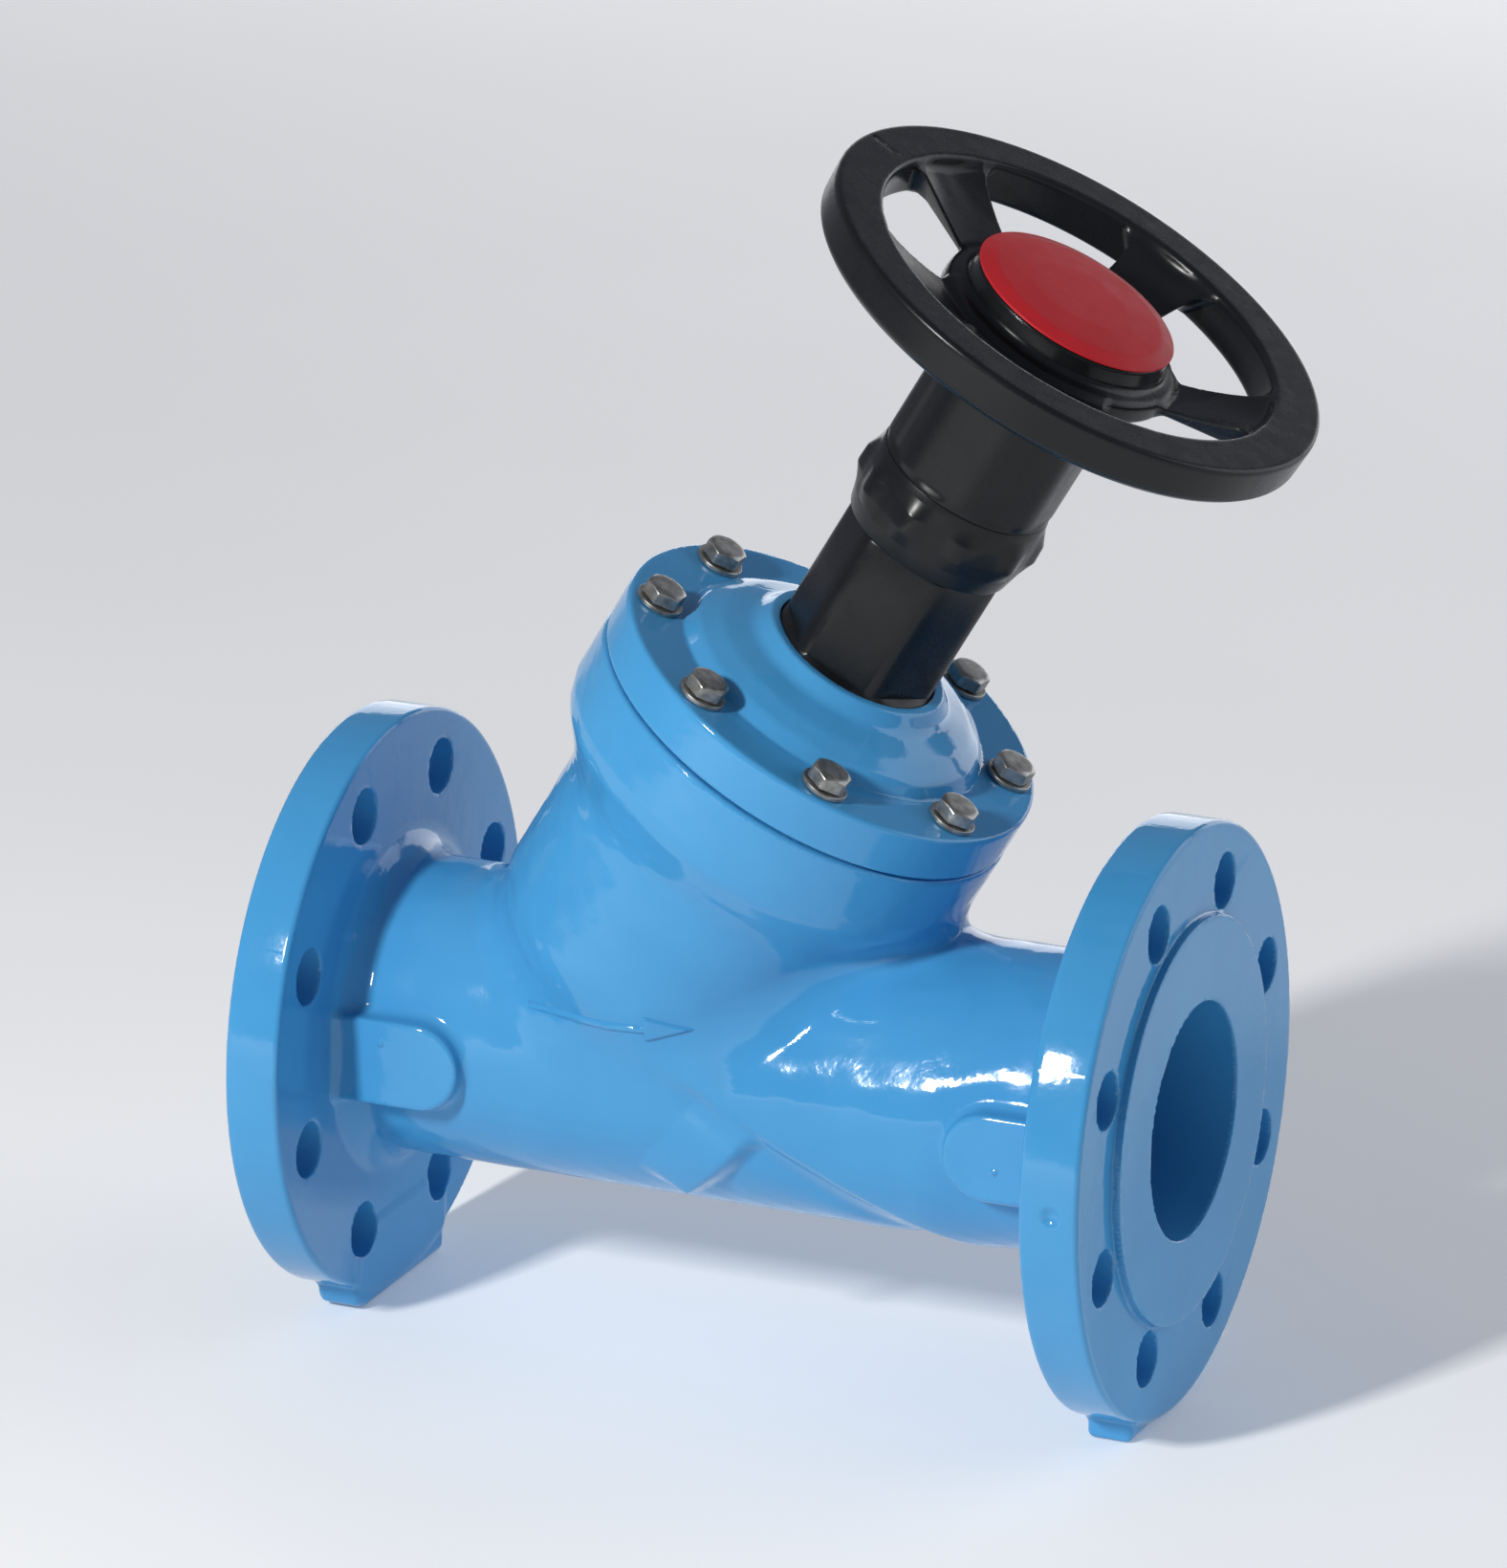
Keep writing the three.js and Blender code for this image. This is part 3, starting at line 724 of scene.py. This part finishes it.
def hex_mesh(name, across_corners, z0, z1, dome, shank_r, shank_z, up=True):
    """Hex head with a chamfered, slightly domed top and a shank."""
    n = 96
    rings = []
    ang = np.arange(n) * 2 * math.pi / n + math.pi / 6 * 0
    flat = across_corners * math.cos(math.pi / 6)
    near = np.mod(ang, math.pi / 3) - math.pi / 6
    hexr = flat / np.cos(near)
    k = 26.0
    hexr = np.minimum(hexr, -np.log(np.exp(-k * hexr / across_corners) + math.exp(-k * 0.985)) * across_corners / k)
    ca, sa = np.cos(ang), np.sin(ang)
    head_r = flat * 0.93

    def row(r, z):
        r = np.broadcast_to(r, (n,))
        z = np.broadcast_to(z, (n,))
        return np.stack([r * ca, r * sa, z], 1)

    zc = z1 - 0.35 - (hexr - head_r) * 0.60
    rings.append(row(shank_r * 0.80, shank_z))
    rings.append(row(shank_r, shank_z + 1.0))
    rings.append(row(shank_r, z0 - 0.05))
    rings.append(row(shank_r + 0.3, z0))
    rings.append(row(hexr - 0.35, z0))
    rings.append(row(hexr, z0 + 0.35))
    rings.append(row(hexr, zc - 0.25))
    rings.append(row(hexr - 0.16, zc + 0.10))
    rings.append(row(hexr * 0.45 + head_r * 0.55, z1 - 0.35 - (hexr * 0.45 - head_r * 0.45) * 0.60))
    rings.append(row(head_r, z1 - 0.30))
    rings.append(row(head_r - 0.5, z1 - 0.08))
    rings.append(row(head_r * 0.80, z1 - 0.02 if dome else z1 - 0.1))
    rings.append(row(head_r * 0.40, z1))
    return rings


for i in range(8):
    t = math.radians(22.5 + 45 * i)
    spin = t + math.radians(i * 17 % 60)
    c = np.array([BOLT_PCR * math.cos(t), BOLT_PCR * math.sin(t), 0.0])
    Q = np.array([[math.cos(spin), -math.sin(spin), 0], [math.sin(spin), math.cos(spin), 0], [0, 0, 1]])
    R, T = STEM_R @ Q, STEM_T + STEM_R @ c
    b = loft_piece(f"hex_bolt_{i + 1}", hex_mesh("b", 7.5, 153.4, 158.7, True, 3.9, 120.0), R, T, 24)
    place(b, "root", ZINC, f"bonnet_bolt_{i + 1}")
    w = turn_piece(f"flat_washer_{i + 1}", [(4.4, 151.5, 0.15), (8.1, 151.5, 0.25), (8.1, 153.1, 0.4), (4.4, 153.1, 0.2)],
                   R, T, 64)
    place(w, "root", ZINC, f"bonnet_washer_{i + 1}")

# ---------------------------------------------------------------- barrel
def barrel_rows():
    n = 192
    ang = np.arange(n) * 2 * math.pi / n
    # six flats with well-rounded corners between them
    near = np.mod(ang + math.radians(115), math.pi / 3) - math.pi / 6
    flat = 25.6 / np.cos(near)
    octo = -np.log(np.exp(-1.3 * flat) + math.exp(-1.3 * 28.4)) / 1.3
    octo = octo * 28.1 / octo.max()
    ca, sa = np.cos(ang), np.sin(ang)
    rows = []

    def row(r, z):
        r = np.broadcast_to(r, (n,))
        rows.append(np.stack([r * ca, r * sa, np.full(n, z)], 1))

    row(16.2, 160.3), row(28.0, 160.3), row(28.6, 160.9), row(28.6, 167.8), row(28.4, 168.1)
    row(octo + 0.05, 169.3), row(octo, 190.0), row(octo, 215.4)
    row(octo - 0.3, 216.2), row(octo - 1.0, 216.6), row(26.2, 216.6)
    row(26.2, 217.0), row(26.2, 250.0), row(26.2, 285.4), row(25.7, 286.0)
    row(23.7, 286.0), row(23.2, 285.5), row(23.2, 163.6), row(16.2, 163.6)
    return rows


place(loft_piece("scale_barrel_moulding", barrel_rows(), STEM_R, STEM_T, 26, closed=True),
      "root", BLACK, "scale_barrel")

# ---------------------------------------------------------------- handwheel
HUB = Turned([(-9, 294.4), (26.8, 294.4), (26.8, 218.0, 0.3), (29, 218.0, 0.3), (29, 242), (30.1, 242, 0.3),
              (30.1, 289, 16), (42.2, 300.8, 2.5), (42.2, 307.0, 2.8), (36.0, 308.6, 3.0), (35.4, 315.9, 0.8),
              (30.6, 315.9, 0.5), (30.6, 302.6), (-9, 302.6)], (-10, 214), (46, 320))
RIM = Turned([(72.6, 304, 1.8), (86.4, 304, 2.6), (88.9, 306.4, 2.4), (89.6, 319.4, 2.0), (72.0, 319.4, 2.2)],
             (66, 300), (94, 324))


def wheel_shape(x, y, z):
    r = np.hypot(x, y)
    ang = np.arctan2(y, x)
    # the skirt is a soft octagon outside
    side = fold(ang, 8, math.radians(-94 - 22.5))
    flat = 29.35 / np.cos(side)
    octo = -np.log(np.exp(-2.2 * flat) + math.exp(-2.2 * 30.75)) / 2.2
    oct_w = smooth((z - 243.5) / 3.0) * smooth((289 - z) / 10.0) * smooth((r - 28.2) / 1.2)
    f = HUB(r + (30.1 - octo) * oct_w, z)
    ph = fold(ang, 5, math.radians(156 - 36))
    u, v = r * np.cos(ph), r * np.sin(ph)
    k = np.clip((u - 43.0) / 29.0, 0, 1)
    av = np.abs(v)
    hw_top = 12.6 + 4.2 * k ** 2.0 + 4.5 * smooth((u - 65) / 8.0)
    hw_bot = 10.5 - 3.2 * k + 3.0 * smooth((u - 65) / 8.0)
    top = 305.6 + 7.4 * k + 1.6 * k * k + 2.4 * np.minimum(av / 13.0, 1.1) ** 2 * (0.1 + 0.9 * k)
    top = np.minimum(top, 317.0)
    bot = 302.4 + 2.8 * k
    m = np.clip((z - bot) / np.maximum(top - bot, 1.0), 0, 1)
    hw = hw_bot + (hw_top - hw_bot) * m
    spoke = rmeet(rmeet((z - top) * 0.95, (bot - z), 1.2), (av - hw) * 0.92, 1.3)
    spoke = np.maximum(spoke, np.maximum(32 - u, u - 76))
    f = runion(f, spoke, 3.0)
    rim = RIM(r, z)
    f = rmeet(runion(f, rim, 2.6), z - 319.4, 0.6)
    # recess that takes the cap and the screw, the square and the sleeve
    inner = np.maximum(r - 30.6, 302.6 - z)
    f = np.maximum(f, -inner)
    f = np.maximum(f, -np.maximum(r - 26.8, z - 294.4))
    sq = np.maximum(np.abs(x), np.abs(y)) - 7.35
    f = np.maximum(f, -np.maximum(sq, 290 - z))
    # index notch
    a = math.radians(176.5)
    nu, nv = x * math.cos(a) + y * math.sin(a), -x * math.sin(a) + y * math.cos(a)
    notch = rbox(nu, nv, z, 82.4, 0, 319.9, 5.0, 0.95, 1.5, 0.3)
    return rcut(f, notch, 0.25)


wheel = cast_piece("handwheel_moulding", wheel_shape, (-92, -92, 216), (92, 92, 322),
                   0.9, 120000, STEM_R, STEM_T, 0.1, 0.6)
place(wheel, "handwheel", BLACK, "handwheel")


def lobed(r, z, ang):
    w = 0.5 + 0.5 * np.cos(10 * (ang - math.radians(13.6)))
    amp = 2.1 * math.exp(-((z - 231.5) / 6.0) ** 4)
    return np.where(r > 29.9, r + amp * (w ** 1.6), r)


place(turn_piece("index_collar_moulding",
                 [(27, 217.2, 0.2), (29.4, 217.2, 0.6), (30.9, 223.5, 5), (31.5, 229, 8), (31.5, 235.5, 8),
                  (30.9, 240.6, 3.0), (30.5, 243.2, 0.3), (29.3, 243.6, 0.2), (28.2, 243.6), (28.2, 217.7), (27, 217.7)],
                 STEM_R, STEM_T, 320, True, lobed),
      "handwheel", BLACK, "index_collar")

place(turn_piece("cap_cover", [(0, 316.2), (28.4, 316.2), (28.4, 309.0, 0.2), (30.2, 309.0, 0.3), (30.2, 316.2),
                               (35.9, 316.2, 0.4), (35.8, 317.0, 0.7), (30.5, 318.7, 9), (17, 319.4, 50), (0, 319.5)],
                 STEM_R, STEM_T, 160, False), "handwheel", RED, "cap")

# ---------------------------------------------------------------- inner pieces
def turned(name, node, body_name, material, points, segs=96, closed=True):
    place(turn_piece(name, points, STEM_R, STEM_T, segs, closed), body_name, material, node)


turned("seat_ring_turned", "seat_ring", "root", STEEL,
       [(38, 16, 0.3), (45, 16, 0.4), (45, 26, 0.3), (39, 26, 0.4), (38, 25, 0.4)], 128)
turned("disc_seal_ring", "disc_seal", "disc", RUBBER,
       [(30, 26.3), (43.6, 26.3, 0.8), (43.6, 29.8, 0.4), (30, 29.8)], 128)
turned("seal_retainer_plate", "seal_retainer", "disc", STEEL,
       [(5.4, 20, 0.2), (36.8, 20, 1.0), (36.8, 26, 0.3), (29.5, 26), (29.5, 29.8), (5.4, 29.8)], 128)
turned("disc_turned", "disc", "disc", STEEL,
       [(0, 40), (5.1, 40), (5.1, 30.1), (44, 30.1, 0.5), (44, 37, 1.2), (23.5, 44, 3), (23.5, 66, 0.6),
        (18.3, 66, 0.3), (18.3, 54.6), (14.5, 54.6), (14.5, 45), (0, 45)], 128, False)
turned("thrust_pad_turned", "thrust_pad", "disc", BRASS,
       [(0, 45.3), (13.6, 45.3, 0.3), (13.6, 46.7, 0.3), (0, 46.7)], 64, False)
turned("disc_nut_turned", "disc_nut", "disc", BRASS,
       [(11.5, 54.9, 0.2), (18, 54.9, 0.3), (18, 66.4), (21.5, 66.4, 0.3), (21.5, 69, 0.5), (11.5, 69, 0.3)], 96)
turned("stem_bush_turned", "stem_bush", "root", BRASS,
       [(11.4, 128, 0.2), (15.8, 128, 0.5), (15.8, 163.9), (21.5, 163.9, 0.3), (21.5, 172, 0.6),
        (11.4, 172, 0.3), (11.4, 149), (14.4, 149), (14.4, 145.4), (11.4, 145.4),
        (11.4, 139.6), (14.4, 139.6), (14.4, 136), (11.4, 136)], 96)
for node, s in (("stem_o_ring_lower", 137.8), ("stem_o_ring_upper", 147.2)):
    ring = [(12.75 + 1.35 * math.cos(a), s + 1.35 * math.sin(a)) for a in np.arange(16) * math.pi / 8]
    turned(node + "_seal", node, "root", RUBBER, ring, 96)
turned("bonnet_gasket_ring", "bonnet_gasket", "root", RUBBER,
       [(52.6, 133, 0.2), (60, 133, 0.2), (60, 134.4, 0.2), (52.6, 134.4, 0.2)], 128)
turned("wheel_washer_ring", "handwheel_washer", "handwheel", ZINC,
       [(5.3, 302.9, 0.2), (14.5, 302.9, 0.3), (14.5, 304.9, 0.4), (5.3, 304.9, 0.2)], 64)
place(loft_piece("wheel_screw_hex", hex_mesh("s", 9.15, 305.2, 311.4, True, 4.8, 281.0), STEM_R, STEM_T, 24),
      "handwheel", ZINC, "handwheel_screw")
flipR = STEM_R @ np.diag([1.0, -1.0, -1.0])
place(loft_piece("retainer_screw_hex", hex_mesh("s", 9.15, -19.7, -13.5, True, 4.8, -38.0), flipR, STEM_T, 24),
      "disc", STEEL, "retainer_screw")


def stem_rows():
    n = 96
    ang = np.arange(n) * 2 * math.pi / n
    ca, sa = np.cos(ang), np.sin(ang)
    sq = np.minimum(7.0 / np.maximum(np.abs(ca), np.abs(sa)), 9.3)
    rows = []

    def row(r, z):
        r = np.broadcast_to(r, (n,))
        rows.append(np.stack([r * ca, r * sa, np.full(n, z)], 1))

    row(0.5, 47.0), row(13.5, 47.0), row(14.0, 47.5), row(14.0, 53.8), row(13.5, 54.3)
    row(11.0, 54.3), row(11.0, 76.0)
    z = 78.0
    while z < 120.0:                       # ring-shaped thread form, under the bush
        row(10.95, z), row(9.9, z + 0.9), row(9.9, z + 1.5), row(10.95, z + 2.4)
        z += 3.4
    row(11.0, 124.0), row(11.0, 293.5), row(10.6, 294.0)
    row(sq, 294.0), row(sq, 302.0), row(sq - 0.4, 302.4), row(5.1, 302.4), row(5.1, 276.0), row(0.5, 274.0)
    return rows


place(loft_piece("stem_turned", stem_rows(), STEM_R, STEM_T, 30), "handwheel", STEEL, "stem")

# ---------------------------------------------------------------- camera
cam = bpy.data.cameras.new("camera")
cam.sensor_fit = "AUTO"
cam.sensor_width = 36.0
cam.lens = 10592.54 / 1640 * 36.0
cam.clip_start, cam.clip_end = 0.1, 60.0
cam_ob = bpy.data.objects.new("camera", cam)
bpy.context.scene.collection.objects.link(cam_ob)
right = Vector((0.9203306, 0.3908834, 0.0142045))
down = Vector((0.1339055, -0.2807421, -0.9503963))
ahead = Vector((-0.3675063, 0.8765809, -0.3107170))
m = Matrix.Identity(4)
for i in range(3):
    m[i][0], m[i][1], m[i][2] = right[i], -down[i], -ahead[i]
    m[i][3] = (1.219337, -2.954617, 1.244838)[i]
cam_ob.matrix_world = m
bpy.context.scene.camera = cam_ob

# ---------------------------------------------------------------- floor and light
bpy.ops.mesh.primitive_plane_add(size=24, location=(0, 0, -0.0004))
floor = bpy.context.object
floor.name = "studio_floor"
fm = Nodes("pale_floor")
fm.to(fm.ramp(fm.noise(3.0, 2.0), [(0.3, (0.93, 0.93, 0.92)), (0.7, (0.96, 0.96, 0.95))]), "Base Color")
fm.put(Roughness=0.9)
fm.p.inputs["Emission Color"].default_value = (1.0, 1.0, 1.0, 1.0)
fm.p.inputs["Emission Strength"].default_value = 0.13
floor.data.materials.append(fm.m)

world = bpy.data.worlds.new("studio")
world.use_nodes = True
world.node_tree.nodes["Background"].inputs["Color"].default_value = (0.78, 0.82, 1.0, 1.0)
world.node_tree.nodes["Background"].inputs["Strength"].default_value = 0.22
bpy.context.scene.world = world


def area(name, loc, aim, size, power, color=(1, 1, 1)):
    l = bpy.data.lights.new(name, "AREA")
    l.shape = "RECTANGLE"
    l.size, l.size_y = size
    l.energy = power
    l.color = color
    o = bpy.data.objects.new(name, l)
    bpy.context.scene.collection.objects.link(o)
    o.location = loc
    o.rotation_euler = (Vector(aim) - Vector(loc)).to_track_quat("-Z", "Y").to_euler()
    return o


area("key", (-0.65, -2.09, 1.42), (0, 0, 0.2), (0.16, 0.34), 51, (1.0, 0.99, 0.96))
area("backdrop", (-0.3, 2.7, 0.55), (0, 0, 0.35), (3.8, 1.1), 22)
area("right", (2.1, 1.4, 0.95), (0.1, 0, 0.25), (2.3, 1.8), 20, (0.90, 0.95, 1.0))

view = bpy.context.scene.view_settings
view.view_transform = "Standard"
view.look = "None"
view.exposure = 0.0
view.gamma = 1.0
